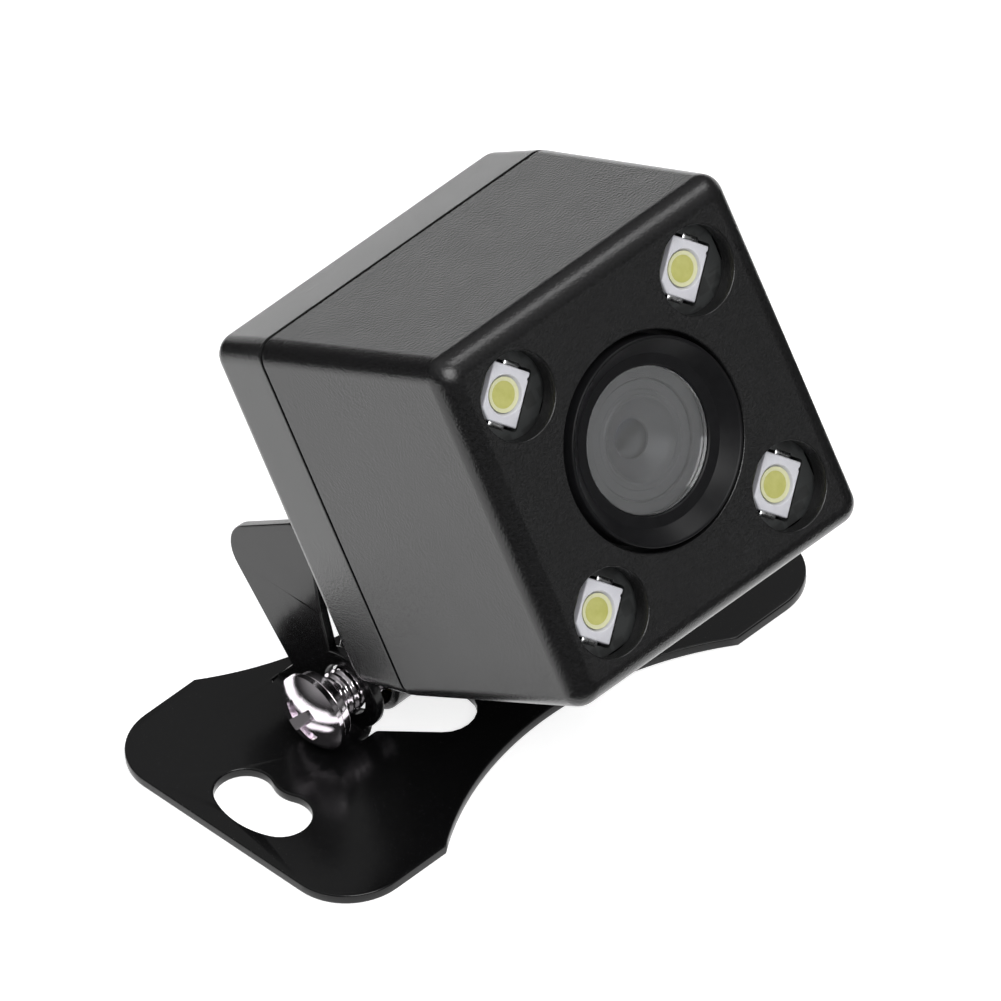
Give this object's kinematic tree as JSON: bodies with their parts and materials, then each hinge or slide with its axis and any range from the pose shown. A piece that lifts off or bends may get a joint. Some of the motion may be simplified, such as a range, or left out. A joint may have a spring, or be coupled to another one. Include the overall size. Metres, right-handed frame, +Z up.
{
  "type": "backup camera",
  "caption": "Square black reversing camera with a round lens and corner LEDs, tilting between the ears of a folded dog-bone steel bracket with slotted mounting holes.",
  "frame": {"origin": "centre of the flat underside of the base plate, on the strip between its two windows", "axes": "+Z up, normal to the base plate; +X along the base plate and the tilt axis; the camera looks towards -Y and upwards"},
  "size_m": [0.0412, 0.0347, 0.0404],
  "materials": {
    "black_steel": "gloss black paint",
    "black_plastic": "fine spark-eroded grain",
    "gloss_black_plastic": "semi-gloss black",
    "black_rubber": "matt",
    "optical_glass": "clear, slightly grey",
    "filter_glass": "coated, pale cyan",
    "chrome": "bright plated steel",
    "brass": "turned brass",
    "led_body": "pale grey moulded package",
    "phosphor": "yellow silicone phosphor",
    "black_board": "black solder mask",
    "green_board": "green solder mask",
    "sensor_body": "dark glazed package",
    "ivory_plastic": "ivory nylon"
  },
  "bodies": {
    "bracket": {"base_bracket": "black_steel"},
    "camera": {"front_housing": "black_plastic", "rear_cover": "black_plastic", "housing_seal": "black_rubber", "cable_gland": "black_rubber", "lens_bezel": "gloss_black_plastic", "cover_glass": "optical_glass", "window_seal": "black_rubber", "lens_barrel": "gloss_black_plastic", "lens_holder": "gloss_black_plastic", "image_sensor": "sensor_body", "front_lens": "optical_glass", "rear_lens": "optical_glass", "ir_filter": "filter_glass", "led_board": "black_board", "sensor_board": "green_board", "link_header": "gloss_black_plastic", "cable_header": "ivory_plastic", "led_upper_left": "led_body", "led_upper_right": "led_body", "led_lower_left": "led_body", "led_lower_right": "led_body", "phosphor_upper_left": "phosphor", "phosphor_upper_right": "phosphor", "phosphor_lower_left": "phosphor", "phosphor_lower_right": "phosphor", "cover_screw_upper_left": "chrome", "cover_screw_upper_right": "chrome", "cover_screw_lower_left": "chrome", "cover_screw_lower_right": "chrome", "pivot_screw_left": "chrome", "spring_washer_left": "chrome", "thread_insert_left": "brass", "pivot_screw_right": "chrome", "spring_washer_right": "chrome", "thread_insert_right": "brass"}
  },
  "joints": [
    {"name": "tilt", "type": "hinge", "parent": "bracket", "child": "camera", "pos_m": [0, 0.0012, 0.0035], "axis": [-1, 0, 0], "range_deg": [-37.5, 14.5]}
  ]
}
